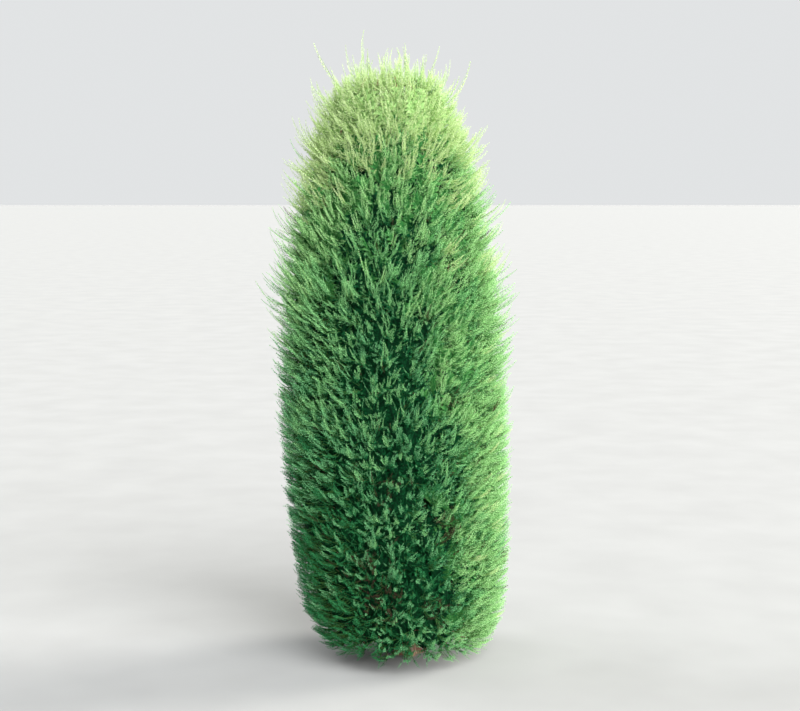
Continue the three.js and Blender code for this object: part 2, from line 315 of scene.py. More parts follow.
outline_heights, outline_radii = np.array(CROWN_OUTLINE).T
half_tier_twist = SEAM_TWIST * (SHOULDER_HEIGHT - CROWN_FOOT) / TIERS / 2


def mix(a, b, share):
    return a + (b - a) * share


def smooth(t):
    t = min(max(t, 0.0), 1.0)
    return t * t * (3 - 2 * t)


def crown_radius(z):
    return float(np.interp(z, outline_heights, outline_radii, right=0.0))


def axis_x(z):
    return -CROWN_LEAN * math.sin(math.pi / 2 * min(z / LEAN_HEIGHT, 1))


def around(r, bearing, z):
    return Vector((axis_x(z) + r * math.cos(bearing), r * math.sin(bearing), z))


def edge_height(tier):
    return mix(CROWN_FOOT, SHOULDER_HEIGHT, tier / TIERS)


def floor_of(tier, r, bearing):
    if tier == 0:
        return CROWN_FOOT
    edge = edge_height(tier)
    wave = math.cos(PLACES * (bearing - (tier - 1) * TIER_TURN - half_tier_twist))
    rise = mix(*TIER_RISE, (tier - 1) / (TIERS - 1))
    radius = crown_radius(edge)
    return edge - rise * (radius - r) + TIER_WAVE * wave * (r / radius) ** 2


def place_in(tier, place, out, turn, rise, share=1.0):
    """A place in a mass's space: out and rise run from 0 to 1, and turn from -1 to 1 across its width."""
    middle = tier * TIER_TURN + place * math.tau / PLACES
    z = edge_height(tier + 0.5)
    for _ in range(6):
        r = mix(INNER_RADIUS + MASS_GAP, crown_radius(z) * share, out)
        bearing = middle + SEAM_TWIST * (z - edge_height(tier + 0.5))
        bearing += turn * (math.pi / PLACES - MASS_GAP / 2 / r)
        z = mix(floor_of(tier, r, bearing), floor_of(tier + 1, r, bearing), rise)
    return around(r, bearing, z)


edges = ", ".join(f"{edge_height(tier):.2f}" for tier in range(1, TIERS + 1))
print(f"crown {2 * max(outline_radii):.2f} m across, tier edges at {edges}")

# %% [markdown]
# ## Trunk and boughs
# The trunk tapers from a lobed flare at the ground to a thin leader inside the top mass, and each bough bends
# up out of it. The relief of their bark is real geometry: rings of points are pushed in and out by a noise
# that changes fast round the limb and slowly along it, which leaves long strips and cracks.


# %% A limb with bark relief
def strip_relief(bearing, along, depth):
    """How far the bark stands out: thin strips, broken up along the limb."""
    strips = noise.fractal(on_ring(3.2, bearing, 9 * along), 0.8, 2.1, 3)
    peel = noise.noise(on_ring(1.4, bearing, 26 * along))
    return depth * (strips + 0.5 * max(peel, 0) ** 2)


def closed_tube(rings):
    """Points and faces of a tube with closed ends, from rings of as many points each."""
    sides = len(rings[0])
    points = [point for ring in rings for point in ring]
    faces = []
    for i in range(len(rings) - 1):
        for j in range(sides):
            k = (j + 1) % sides
            faces.append((i * sides + j, i * sides + k, (i + 1) * sides + k, (i + 1) * sides + j))
    for first, ring, order in ((0, rings[0], 1), (len(points) - sides, rings[-1], -1)):
        middle = len(points)
        points.append(sum(ring, Vector()) / sides)
        for j in range(sides):
            pair = (first + (j + 1) % sides, first + j)
            faces.append((middle, *pair[::order]))
    return points, faces


def mesh_object(name, parts, material):
    """One object from several lists of points and faces."""
    points, faces = [], []
    for part_points, part_faces in parts:
        offset = len(points)
        points += part_points
        faces += [tuple(corner + offset for corner in face) for face in part_faces]
    mesh = bpy.data.meshes.new(name)
    mesh.from_pydata(points, [], faces)
    mesh.materials.append(material)
    mesh.update()
    return add_object(name, mesh)


# %% The trunk
TRUNK_TOP = floor_of(TIERS, 0, 0) + 0.030
TRUNK_RADIUS = 0.031
TRUNK_TIP_RADIUS = 0.005
FLARE_RADIUS = 0.017
FLARE_FADE = 0.055
FLARE_LOBES = 5
TRUNK_SIDES = 56
TRUNK_RINGS = 180


def trunk_radius(z, bearing):
    taper = mix(TRUNK_RADIUS, TRUNK_TIP_RADIUS, (z / TRUNK_TOP) ** 0.9)
    flare = FLARE_RADIUS * math.exp(-z / FLARE_FADE)
    return taper + flare * (1 + 0.35 * math.cos(FLARE_LOBES * bearing))


trunk_rings = []
for i in range(TRUNK_RINGS):
    z = TRUNK_TOP * (i / (TRUNK_RINGS - 1)) ** 1.3
    ring = []
    for j in range(TRUNK_SIDES):
        bearing = math.tau * j / TRUNK_SIDES
        radius = trunk_radius(z, bearing)
        ring.append(around(radius + strip_relief(bearing, z, 0.06 * radius), bearing, z))
    trunk_rings.append(ring)
trunk = mesh_object("trunk_bark", [closed_tube(trunk_rings)], bark)
print(f"trunk of {len(trunk.data.polygons)} faces, {TRUNK_TOP:.2f} m tall")

# %% [markdown]
# A bough starts in the trunk, leaves it outwards and turns up to its tip, where a mass's stem takes over. Its
# path is one cubic curve, and its rings stand square to that curve.

# %% The boughs
BOUGH_TIP_REACH = 0.104
BOUGH_RISE = 0.150
LOW_BOUGH_RISE = 0.070
BOUGH_BASE_RADIUS = 0.011
BOUGH_TIP_RADIUS = 0.0055
BOUGH_THINNING = 0.14
BOUGH_STEEPNESS = 1.15
LOW_BOUGH_STEEPNESS = 0.95
BOUGH_STAGGER = 0.009
BOUGH_SIDES = 12
BOUGH_RINGS = 28


def cubic(points, t):
    """A point on the cubic curve of four points."""
    a, b, c, d = points
    s = 1 - t
    return a * s**3 + b * (3 * s * s * t) + c * (3 * s * t * t) + d * t**3


def raised(level, steep):
    """A level direction, turned up by an angle."""
    return level * math.cos(steep) + Vector((0, 0, math.sin(steep)))


def bough_plan(tier, place):
    bearing = tier * TIER_TURN + place * math.tau / PLACES
    if tier == 0:
        rise, steep = LOW_BOUGH_RISE, LOW_BOUGH_STEEPNESS
        tip_height = CROWN_FOOT + rise + 0.038
    else:
        rise, steep = BOUGH_RISE, BOUGH_STEEPNESS
        stagger = (place * 2) % PLACES * BOUGH_STAGGER
        tip_height = floor_of(tier, BOUGH_TIP_REACH, bearing) + 0.072 + stagger
    heading = raised(on_ring(1, bearing), steep)
    tip = around(BOUGH_TIP_REACH, bearing, tip_height)
    start = around(0.004, bearing, tip_height - rise)
    leaving = around(0.052, bearing, tip_height - rise * 0.72)
    path = (start, leaving, tip - heading * 0.050, tip)
    return {"path": path, "tip": tip, "heading": heading, "thickness": 1 - BOUGH_THINNING * tier}


def bough_rings(path, base, tip, seed):
    rings = []
    across = Vector((1, 0, 0)).cross(path[3] - path[0]).normalized()
    for i in range(BOUGH_RINGS):
        t = i / (BOUGH_RINGS - 1)
        thick = mix(base, tip, t)
        heading = (cubic(path, min(t + 0.01, 1)) - cubic(path, max(t - 0.01, 0))).normalized()
        across = (across - heading * across.dot(heading)).normalized()
        side = heading.cross(across)
        centre = cubic(path, t)
        ring = []
        for j in range(BOUGH_SIDES):
            bearing = math.tau * j / BOUGH_SIDES
            radius = thick + strip_relief(bearing + seed, t * 0.3 + seed, 0.08 * thick)
            ring.append(centre + (across * math.cos(bearing) + side * math.sin(bearing)) * radius)
        rings.append(ring)
    return rings


plans = {(tier, place): bough_plan(tier, place) for tier in range(TIERS) for place in range(PLACES)}
bough_parts = []
for number, plan in enumerate(plans.values()):
    base = BOUGH_BASE_RADIUS * plan["thickness"]
    tip = BOUGH_TIP_RADIUS * plan["thickness"]
    bough_parts.append(closed_tube(bough_rings(plan["path"], base, tip, number)))
boughs = mesh_object("boughs_bark", bough_parts, bark)
print(f"{len(bough_parts)} boughs of {len(boughs.data.polygons)} faces in all")

# %% [markdown]
# ## Growing the crown
# A mass hangs on one stem that carries its bough on. Four twigs rise from the stem behind the face of the
# mass. From them, short branchlets run out and up, one to each patch of the face, and every branchlet ends in
# a spray: a plume of three longer shoots, and shorter ones that fill in round it. That is the model's rule
# with two more forks. All draws are seeded, so the plant is the same at every run. The crown is first written
# down as three plain lists.

# %% Three lists and the sizes of a spray
PATCH = 0.037
BRANCHLET_DEPTH = 0.060
PLUME_SHARES = (1.0, 0.72, 0.45)
FILLING_SHOOTS = 5
LIGHT_FILLING_SHOOTS = 9
OLD_SPRAYS = 3
OLD_SPRAY_LENGTH = 0.095
INNER_SPRAYS = 2
TWIG_TURNS = 4
TOP_TWIGS = 9
DOME_HEIGHT = 1.885
LEADER_HEIGHT = 1.865
STEM_END_RADIUS = 0.0032
TWIG_RADII = (0.0032, 0.0018)
BRANCHLET_RADII = (0.0016, 0.0011)
UP = Vector((0, 0, 1))

paths = []
shoots = []
old_sprays = []


def at_height(z, steps):
    """A value at a height, from pairs of height and value."""
    heights, values = zip(*steps)
    return float(np.interp(z, heights, values))


def smooth_path(points, steps=5):
    """Points along a soft curve through the given ones."""
    padded = [points[0] * 2 - points[1], *points, points[-1] * 2 - points[-2]]
    found = []
    for i in range(len(points) - 1):
        a, b, c, d = padded[i : i + 4]
        for k in range(steps):
            t = k / steps
            bent = (a * 2 - b * 5 + c * 4 - d) * t * t
            found.append((b * 2 + (c - a) * t + bent + (b * 3 - a - c * 3 + d) * t**3) * 0.5)
    return [*found, points[-1]]


print(f"a spray of {len(PLUME_SHARES) + FILLING_SHOOTS} shoots to every {PATCH * 100:.1f} cm of the crown")

# %% [markdown]
# The shoots of this kind stand off the crown's face and turn up a little, most of all halfway up. Their
# colour paints the light that a place gets, along with the yellower growth of a sunny side: yellow-green at
# the top, fresh green down the right side that meets the low sun, and deep blue-green as painted shade low on
# the front and left. A level between 0 and about 1.5 says how light a place is. A slow noise makes it patchy
# and bends the edge of the bright side, and each spray draws its own level near it. Low down a few patches
# are brown and half bare.

# %% How steep the shoots stand and how light they are
RISE_BY_HEIGHT = [(0.05, 0.08), (0.25, 0.24), (0.60, 0.30), (1.00, 0.28), (1.60, 0.22), (1.82, 0.14)]
LEVEL_BY_HEIGHT = [(0.05, 0.14), (0.60, 0.31), (1.25, 0.50), (1.45, 0.66), (1.60, 0.92), (1.72, 1.24)]
RIGHT_BY_HEIGHT = [(0.20, 0.62), (1.00, 0.42), (1.30, 0.33), (1.60, 0.10), (1.72, -0.08), (1.85, -0.20)]
LEFT_BY_HEIGHT = [(0.50, -0.22), (1.40, 0.26)]
TINTS_BY_LEVEL = [
    (1.02, ("lime", "lime")), (0.92, ("lime", "fresh")), (0.76, ("fresh", "fresh")),
    (0.62, ("fresh", "green")), (0.34, ("green", "deep")), (0.14, ("blue", "deep")),
]
# Each brown patch has a bearing, a height and a size.
BROWN_PATCHES = [
    (-1.87, 0.36, 0.045), (-1.78, 0.26, 0.050), (-1.25, 0.24, 0.035), (-1.70, 0.61, 0.032),
    (-1.12, 0.50, 0.030), (-0.20, 0.34, 0.030), (0.80, 0.42, 0.045), (1.50, 0.24, 0.040),
    (2.40, 0.56, 0.040), (3.00, 0.30, 0.035),
]


def steepness(z):
    """How steeply the shoots stand: straight out of the crown's face, and turned up a little."""
    fall = (crown_radius(z - 0.02) - crown_radius(z + 0.02)) / 0.04
    return math.atan(max(fall, 0)) + at_height(z, RISE_BY_HEIGHT)


# Painted light: the level rises at the top and towards the low right lamp, and falls low on the left.
def light_level(z, bearing):
    patchy = noise.noise(on_ring(3, bearing, 9 * z))
    right = smooth((math.cos(bearing) + 0.3 * patchy - 0.24) / 0.64) * at_height(z, RIGHT_BY_HEIGHT)
    left = max(-math.cos(bearing), 0) * at_height(z, LEFT_BY_HEIGHT)
    most = mix(0.82, 1.5, smooth((z - 1.15) / 0.45))
    return min(at_height(z, LEVEL_BY_HEIGHT) + 0.2 * patchy + right + left, most)


def tints_at(level):
    """The colours of a shoot's new growth and of the older needles on its lower part."""
    return next((tints for least, tints in TINTS_BY_LEVEL if level > least), ("deep", "shade"))


def shade_at(level):
    """The colour of the shaded sprays behind the shoots, painted lighter where a place is lit."""
    return "moss" if level > 0.80 else "fern" if level > 0.58 else "shade"


def dead_share(z, bearing):
    """The share of dead shoots, next to none outside the brown patches."""
    share = 0.012 if z < 1.5 else 0.0
    for patch_bearing, patch_z, patch_size in BROWN_PATCHES:
        turn = math.remainder(bearing - patch_bearing, math.tau)
        distance = math.hypot(turn * crown_radius(z), z - patch_z)
        share = max(share, 0.5 * smooth(1.3 - 0.6 * distance / patch_size))
    return share


print("levels on the front " + ", ".join(f"{light_level(z, -math.pi / 2):.2f}" for z in (0.3, 1.0, 1.7)))

# %% [markdown]
# One spray knows its place on the face, so all of it shares one draw of light, one heading and one aim of its
# plume. The filling shoots end a little under the face, and old sprays stand behind them, except where it is
# brightest.

# %% Grow a spray
def facing_out(point):
    """A place's bearing from the axis, and the level directions outwards and sideways there."""
    bearing = math.atan2(point.y, point.x - axis_x(point.z))
    level = on_ring(1, bearing)
    return bearing, level, Vector((-level.y, level.x, 0))


def grow_spray(node, face, twig, draw):
    """One branchlet from a twig to a patch of the face: a plume of shoots and shorter ones round it."""
    bearing, level, side = facing_out(face)
    out = min(math.hypot(face.x - axis_x(face.z), face.y) / crown_radius(face.z), 1)
    steep = mix(math.pi / 2, steepness(face.z), out) + draw.uniform(-0.20, 0.20)
    heading = raised(level, steep) + side * draw.uniform(-0.25, 0.25)
    end = face - heading * BRANCHLET_DEPTH
    start = min(twig, key=lambda point: (point - end + Vector((0, 0, 0.045))).length)
    bend = mix(start, end, 0.5) - heading * 0.006 + Vector((0, 0, 0.008))
    paths.append(([start, bend, end], *BRANCHLET_RADII))
    light = light_level(face.z, bearing) + draw.uniform(-0.12, 0.12)
    shade_tint = shade_at(light)
    dying = dead_share(face.z, bearing)
    patch_turn = PATCH / max(out * crown_radius(face.z), 0.04)
    dome = smooth((face.z - 1.78) / 0.12)
    longest = mix(0.5, 2.0, smooth((face.z - 0.70) / 0.55))
    few_long = mix(1.9, 3.2, smooth((face.z - 1.55) / 0.25))
    plume_reach = mix(0.1, longest, draw.random() ** few_long) - 0.4 * dome
    plume_foot = mix(0.2, -0.6, smooth((face.z - 0.90) / 0.50))
    plume_turn = draw.uniform(-0.5, 0.5)
    plume_rise = draw.uniform(-0.5, 0.5)
    filling = LIGHT_FILLING_SHOOTS if shade_tint == "moss" else FILLING_SHOOTS
    for i in range(len(PLUME_SHARES) + filling):
        in_plume = i < len(PLUME_SHARES)
        if in_plume:
            root = mix(bend, end, draw.uniform(plume_foot, 0.6))
            reach = plume_reach * PLUME_SHARES[i]
            turn = plume_turn + draw.uniform(-0.25, 0.25)
            rise = plume_rise + draw.uniform(-0.25, 0.25)
        else:
            root = mix(bend, end, draw.uniform(0.2, 1.0))
            reach = draw.uniform(-0.7, 0.25) - 0.3 * dome
            turn = draw.uniform(-0.8, 0.8)
            rise = draw.uniform(-0.8, 0.8)
        z = min(face.z + rise * PATCH, DOME_HEIGHT)
        tip = around(out * crown_radius(z), bearing + turn * patch_turn, z) + heading * reach * TIP_REACH
        # Filling shoots end under the face and take a colour a step darker: painted shade.
        tints = tints_at(light if in_plume else light - 0.12)
        if draw.random() < dying:
            tints = ("dead", "dead")
        shoots.append((node, root, tip, *tints, in_plume))
    for _ in range(0 if shade_tint == "moss" else OLD_SPRAYS):
        aim = UP + side * draw.uniform(-0.8, 0.8) + level * draw.uniform(-0.1, 0.5)
        root = mix(bend, end, draw.uniform(-0.4, 0.8))
        size = OLD_SPRAY_LENGTH * draw.uniform(0.75, 1.1) * smooth((DOME_HEIGHT - root.z) / 0.2)
        row = (root, aim.normalized(), level, size, draw.uniform(-0.7, 0.7), 0)
        old_sprays.append((node, row, shade_tint))


def grow_inner_sprays(node, twig, draw):
    """Shaded sprays along a twig, which close the view through the crown."""
    for point in twig:
        bearing, level, side = facing_out(point)
        # Inner sprays take the place's level less a step: painted shade deeper in the crown.
        tint = shade_at(light_level(point.z, bearing) - mix(0.30, 0.20, smooth((point.z - 1.45) / 0.2)))
        for _ in range(INNER_SPRAYS):
            aim = (side * draw.uniform(-1.2, 1.2) + UP).normalized()
            size = OLD_SPRAY_LENGTH * draw.uniform(0.9, 1.2) * smooth((DOME_HEIGHT - 0.05 - point.z) / 0.16)
            old_sprays.append((node, (point, aim, level, size, draw.uniform(-0.4, 0.4), 0), tint))


def grow_twig(node, knots, draw):
    """A twig through some places, with shaded sprays along it."""
    twig = smooth_path(knots)
    paths.append((twig, *TWIG_RADII))
    grow_inner_sprays(node, twig[2:], draw)
    return twig


# %% [markdown]
# The masses of the four tiers come first. The rows of a mass's face follow its floor, and the number of
# patches in a row follows from the row's width, so the shoots stand equally close everywhere. The crown is
# thin in the highest tier, which gets its inner sprays twice.


# %% Grow the twenty masses round the trunk
def grow_mass(tier, place):
    node = f"foliage_{tier + 1}_{place + 1}"
    draw = random.Random(101 + tier * 17 + place * 5)
    plan = plans[tier, place]
    start = plan["tip"]
    end = place_in(tier, place, 0.6, 0, 0.84, CORE_SHARE)
    stem_path = (start, start + plan["heading"] * 0.040, end - Vector((0, 0, 0.110)), end)
    stem = [cubic(stem_path, i / 8) for i in range(9)]
    paths.append((stem, BOUGH_TIP_RADIUS * plan["thickness"], STEM_END_RADIUS))
    twigs = []
    for i in range(TWIG_TURNS):
        turn = mix(-0.98, 0.98, (i + draw.uniform(0.35, 0.65)) / TWIG_TURNS)
        knots = [place_in(tier, place, 0.82, turn, rise, CORE_SHARE) for rise in (0.08, 0.45, 0.88)]
        twigs.append(grow_twig(node, [stem[3], *knots], draw))
    low = place_in(tier, place, 1, 0, 0)
    high = place_in(tier, place, 1, 0, 1)
    rows = round((high - low).length / PATCH)
    for row in range(rows):
        rise = (row + 0.5) / rows
        middle = place_in(tier, place, 1, 0, rise)
        columns = round(math.tau / PLACES * crown_radius(middle.z) / PATCH)
        for column in range(columns):
            turn = -1 + 2 * (column + 0.5 + draw.uniform(-0.3, 0.3)) / columns
            face = place_in(tier, place, 1, turn, rise + draw.uniform(-0.3, 0.3) / rows)
            twig = twigs[min(int((turn + 1) / 2 * TWIG_TURNS), TWIG_TURNS - 1)]
            grow_spray(node, face, twig[3:], draw)
    if tier == TIERS - 1:
        for twig in twigs:
            grow_inner_sprays(node, twig[1:], draw)


for tier, place in plans:
    grow_mass(tier, place)
print(f"{len(paths)} paths and {len(shoots)} shoots below the top mass")

# %% [markdown]
# The top mass carries the leader on. Its face is the dome of the outline, and its patches are spaced by the
# length along that outline rather than by height, because near the top the dome is almost level. The rim of
# the masses below is wavy, so a last row of sprays fills the hollows between their crests. The inner sprays
# come twice here too.


# %% Grow the top mass
def near_twig(twigs, bearing):
    return twigs[round(bearing / math.tau * TOP_TWIGS) % TOP_TWIGS]


def grow_top():
    draw = random.Random(909)
    stem = [around(0, 0, mix(TRUNK_TOP, LEADER_HEIGHT, i / 8)) for i in range(9)]
    paths.append((stem, TRUNK_TIP_RADIUS, STEM_END_RADIUS))
    twigs = []
    for i in range(TOP_TWIGS):
        bearing = (i + draw.uniform(-0.2, 0.2)) * math.tau / TOP_TWIGS
        knots = [
            around(share * crown_radius(z), bearing, z)
            for z, share in ((SHOULDER_HEIGHT - 0.075, 0.62), (1.73, 0.68), (1.85, 0.5))
        ]
        twigs.append(grow_twig("foliage_top", [stem[2], *knots], draw))
    dome = [(z, r) for z, r in CROWN_OUTLINE if SHOULDER_HEIGHT < z < DOME_HEIGHT]
    dome = [(SHOULDER_HEIGHT, crown_radius(SHOULDER_HEIGHT)), *dome, (DOME_HEIGHT, 0.045), (DOME_HEIGHT, 0.0)]
    for (low_z, low_r), (high_z, high_r) in zip(dome, dome[1:]):
        rows = max(round(math.hypot(high_z - low_z, high_r - low_r) / PATCH), 1)
        for row in range(rows):
            z = mix(low_z, high_z, (row + 0.5) / rows)
            r = mix(low_r, high_r, (row + 0.5) / rows)
            columns = max(round(math.tau * r / PATCH), 3)
            for column in range(columns):
                bearing = math.tau * (column + draw.uniform(0, 0.6)) / columns
                grow_spray("foliage_top", around(r, bearing, z), near_twig(twigs, bearing)[3:], draw)
    draw = random.Random(910)
    rim = crown_radius(SHOULDER_HEIGHT)
    columns = round(math.tau * rim / PATCH)
    for column in range(columns):
        bearing = math.tau * (column + draw.uniform(-0.3, 0.3)) / columns
        low = floor_of(TIERS, rim, bearing)
        if low < SHOULDER_HEIGHT - 0.01:
            z = mix(low, SHOULDER_HEIGHT, 0.5)
            face = around(crown_radius(z), bearing, z)
            grow_spray("foliage_top", face, near_twig(twigs, bearing), draw)
    for twig in twigs:
        grow_inner_sprays("foliage_top", twig, draw)


grow_top()
print(f"{len(paths)} paths and {len(shoots)} shoots in all")

# %% [markdown]
# A few shoots outgrow the rest and stand out of the outline: the leader, its rivals and some long ones on the
# sides. They are where the model has them. Slim leaders, fanned out over the dome, are added between them.

# %% Long shoots
# Each has a bearing, a height and a reach: beyond the crown on its sides, and from the axis on top.
LONG_SHOOTS = [
    ("foliage_3_2", 3.14, 1.212, 0.096), ("foliage_4_4", 0.15, 1.462, 0.104),
    ("foliage_3_5", 0.3, 1.129, 0.070), ("foliage_4_1", 3.0, 1.660, 0.072),
    ("foliage_3_1", 1.9, 1.140, 0.066), ("foliage_4_2", -2.1, 1.490, 0.058),
    ("foliage_3_4", -0.6, 0.930, 0.060),
]
LEADING_SHOOTS = [
    (2.9, 2.000, 0.082), (-2.75, 1.948, 0.250), (0.2, 1.904, 0.262), (-0.35, 1.942, 0.166),
    (-2.6, 1.944, 0.156), (1.5, 1.952, 0.120), (-1.0, 1.950, 0.090),
]
SLIM_LEADERS = 26


def add_leader(bearing, height, reach, root_share, rise):
    root = around(reach * root_share, bearing, height - rise)
    shoots.append(("foliage_top", root, around(reach, bearing, height), "lime", "lime", True))


for node, bearing, height, reach in LONG_SHOOTS:
    tip = around(crown_radius(height) + reach, bearing, height)
    root = around(0.7 * crown_radius(height), bearing, height - 0.115)
    shoots.append((node, root, tip, "fresh", "green", True))
for place in LEADING_SHOOTS:
    add_leader(*place, root_share=0.32, rise=0.190)
draw = random.Random(77)
for i in range(SLIM_LEADERS):
    reach = mix(0.02, 0.21, (i + 0.5) / SLIM_LEADERS)
    height = 1.935 - 2.4 * reach**2 + draw.uniform(-0.03, 0.02)
    add_leader(i * 2.4, height, reach, root_share=0.45, rise=0.13)
print(f"{len(shoots)} shoots with the long ones")

# %% [markdown]
# ## Twigs as tubes
# Stems, twigs and branchlets are all tubes along a path. The paths become the splines of a curve with a
# radius at each point, and one geometry tree gives them their skin. Three or six sides are enough here.


# %% Helpers for geometry trees
def geometry_tree(name, inputs):
    """A new geometry tree with named inputs, its recipe and the wires of those inputs."""
    tree = bpy.data.node_groups.new(name, "GeometryNodeTree")
    for way in ("INPUT", "OUTPUT"):
        tree.interface.new_socket("Geometry", in_out=way, socket_type="NodeSocketGeometry")
    for label, kind in inputs.items():
        tree.interface.new_socket(label, in_out="INPUT", socket_type="NodeSocket" + kind)
    entry = tree.nodes.new("NodeGroupInput")
    recipe = Recipe(tree)
    wires = {socket.name: Wire(recipe, socket) for socket in entry.outputs if socket.name}
    return tree, recipe, wires


def finish_tree(recipe, geometry, material):
    """Ends a tree: its instances become real and take their material."""
    real = recipe.add("GeometryNodeRealizeInstances", sockets={"Geometry": geometry})
    painted = recipe.add("GeometryNodeSetMaterial", sockets={"Geometry": real, "Material": material})
    painted.into(recipe.tree.nodes.new("NodeGroupOutput"), "Geometry")


def random_between(recipe, low, high, seed):
    limits = {2: low, 3: high, "Seed": seed}
    return recipe.add("FunctionNodeRandomValue", {"data_type": "FLOAT"}, limits, output=1)


def turned_on(recipe, rotation, axis, angle):
    """A rotation turned further, about one of its own axes."""
    by = recipe.add("ShaderNodeCombineXYZ", sockets={axis: angle})
    own = {"rotation_space": "LOCAL"}
    return recipe.add("FunctionNodeRotateRotation", own, {"Rotation": rotation, "Rotate By": by})


def run_tree(holder, tree, values, name):
    """Runs a tree on an object and leaves what it makes as a plain mesh of that name."""
    modifier = holder.modifiers.new("grow", "NODES")
    modifier.node_group = tree
    for item in tree.interface.items_tree:
        if item.in_out == "INPUT" and item.name in values:
            modifier[item.identifier] = values[item.name]
    evaluated = holder.evaluated_get(bpy.context.evaluated_depsgraph_get())
    mesh = bpy.data.meshes.new_from_object(evaluated)
    bpy.data.objects.remove(holder)
    return add_object(name, mesh)


def triangles(piece):
    return sum(len(face.vertices) - 2 for face in piece.data.polygons)


# %% Skin for paths
skin_tree, skin, given = geometry_tree("skin of paths", {"Sides": "Int", "Bark": "Material"})
profile = skin.add("GeometryNodeCurvePrimitiveCircle", sockets={"Resolution": given["Sides"], "Radius": 1.0})
thickness = skin.add("GeometryNodeInputRadius")
tube = skin.add(
    "GeometryNodeCurveToMesh",
    sockets={"Curve": given["Geometry"], "Profile Curve": profile, "Scale": thickness, "Fill Caps": True},
)
finish_tree(skin, tube, given["Bark"])


def path_curve(name, some_paths):
    data = bpy.data.curves.new(name, "CURVE")
    data.dimensions = "3D"
    for points, first_radius, last_radius in some_paths:
        spline = data.splines.new("POLY")
        spline.points.add(len(points) - 1)
        for i, point in enumerate(points):
            spline.points[i].co = (*point, 1)
            spline.points[i].radius = mix(first_radius, last_radius, i / (len(points) - 1))
    return add_object(name, data)


def skinned(name, some_paths, sides):
    return run_tree(path_curve(name, some_paths), skin_tree, {"Sides": sides, "Bark": bark}, name)


thin_radius = BRANCHLET_RADII[0]
twigs = skinned("twigs", [path for path in paths if path[1] > thin_radius], 6)
branchlets = skinned("branchlets", [path for path in paths if path[1] <= thin_radius], 3)
print(f"twigs {triangles(twigs)} and branchlets {triangles(branchlets)} triangles")

# %% [markdown]
# ## One needle, one shoot
# A juniper needle is a stiff awl with a channel along its upper side. Two triangles that meet in a fold give
# its outline and catch light like the real one, and one triangle does for older needles and in the shoots
# that only fill in. Needles stand in rings of three round the stem, each ring turned by half a step, wide
# open low on the shoot and swept forward at its tip.

# %% The needle
NEEDLE_LENGTH = 0.0092
NEEDLE_WIDTH = 0.0021
needle_points = [
    (0, 0, 0),
    (NEEDLE_WIDTH / 2, -NEEDLE_WIDTH * 0.3, NEEDLE_LENGTH * 0.4),
    (0, 0, NEEDLE_LENGTH),
    (-NEEDLE_WIDTH / 2, -NEEDLE_WIDTH * 0.3, NEEDLE_LENGTH * 0.4),
]
old_needle_points = [(-NEEDLE_WIDTH / 2, 0, 0), (NEEDLE_WIDTH / 2, 0, 0), (0, 0, NEEDLE_LENGTH)]


def pattern(name, points, faces, along):
    """An object to copy, with a number at each point from 0 (foot) to 1 (tip)."""
    mesh = bpy.data.meshes.new(name)
    mesh.from_pydata(points, [], faces)
    mesh.attributes.new("along", "FLOAT", "POINT").data.foreach_set("value", along)
    return bpy.data.objects.new(name, mesh)


needle = pattern("needle", needle_points, [(0, 1, 2), (0, 2, 3)], [0, 0.45, 1, 0.45])
old_needle = pattern("old_needle", old_needle_points, [(0, 1, 2)], [0, 0, 1])

# %% [markdown]
# The shoot's path is a bow from its root to its tip that sags below the straight line, so the shoot turns up
# towards its end. The tree has the share of the path where the needles stand as inputs. That makes it serve
# twice: for the older needles on a shoot's lower part and for the new growth at its end.

# %% The tree of a shoot
shoot_sizes = ("Length", "Sag", "Needles From", "Needles To", "Open Angle", "Swept Angle")
shoot_inputs = {label: "Float" for label in shoot_sizes}
shoot_inputs |= {"Rings": "Int", "Seed": "Int", "Needle": "Object", "Colour": "Material"}
shoot_tree, grow, given = geometry_tree("needled shoot", shoot_inputs)
sagging = grow.add("ShaderNodeCombineXYZ", sockets={"Y": -1 * given["Sag"], "Z": 0.5 * given["Length"]})
bow_end = grow.add("ShaderNodeCombineXYZ", sockets={"Z": given["Length"]})
bow = grow.add(
    "GeometryNodeCurveQuadraticBezier",
    sockets={"Resolution": 12, "Start": (0, 0, 0), "Middle": sagging, "End": bow_end},
)
ends = {"Curve": bow, "Start": given["Needles From"], "End": given["Needles To"]}
needled_part = grow.add("GeometryNodeTrimCurve", {"mode": "FACTOR"}, ends)
counted = {"Curve": needled_part, "Count": given["Rings"]}
ring_points = grow.add("GeometryNodeCurveToPoints", {"mode": "COUNT"}, counted)
ring_turn = ring_points.also("Rotation")
tripled = {"Geometry": ring_points, "Amount": 3}
three_each = grow.add("GeometryNodeDuplicateElements", {"domain": "POINT"}, tripled)
which_of_three = three_each.also("Duplicate Index")
index = grow.add("GeometryNodeInputIndex")
ring_number = grow.add("ShaderNodeMath", {"operation": "FLOOR"}, {0: (index + 0.5) / 3})
share = ring_number / (given["Rings"] - 1)
third = math.tau / 3
stem_turn = which_of_three * third + ring_number * (third / 2)
stem_turn = stem_turn + random_between(grow, -0.35, 0.35, given["Seed"])
opening = given["Open Angle"] + (given["Swept Angle"] - given["Open Angle"]) * share
opening = opening + random_between(grow, -0.14, 0.14, given["Seed"] + 1)
turned = turned_on(grow, ring_turn, "Z", stem_turn)
opened = turned_on(grow, turned, "X", opening)
size = (1 - 0.35 * share * share) * random_between(grow, 0.85, 1.12, given["Seed"] + 2)
needle_info = grow.add("GeometryNodeObjectInfo", sockets={"Object": given["Needle"]}, output=4)
needles = grow.add(
    "GeometryNodeInstanceOnPoints",
    sockets={"Points": three_each, "Instance": needle_info, "Rotation": opened, "Scale": size},
)
finish_tree(grow, needles, given["Colour"])
print(f"shoot tree of {len(shoot_tree.nodes)} nodes")

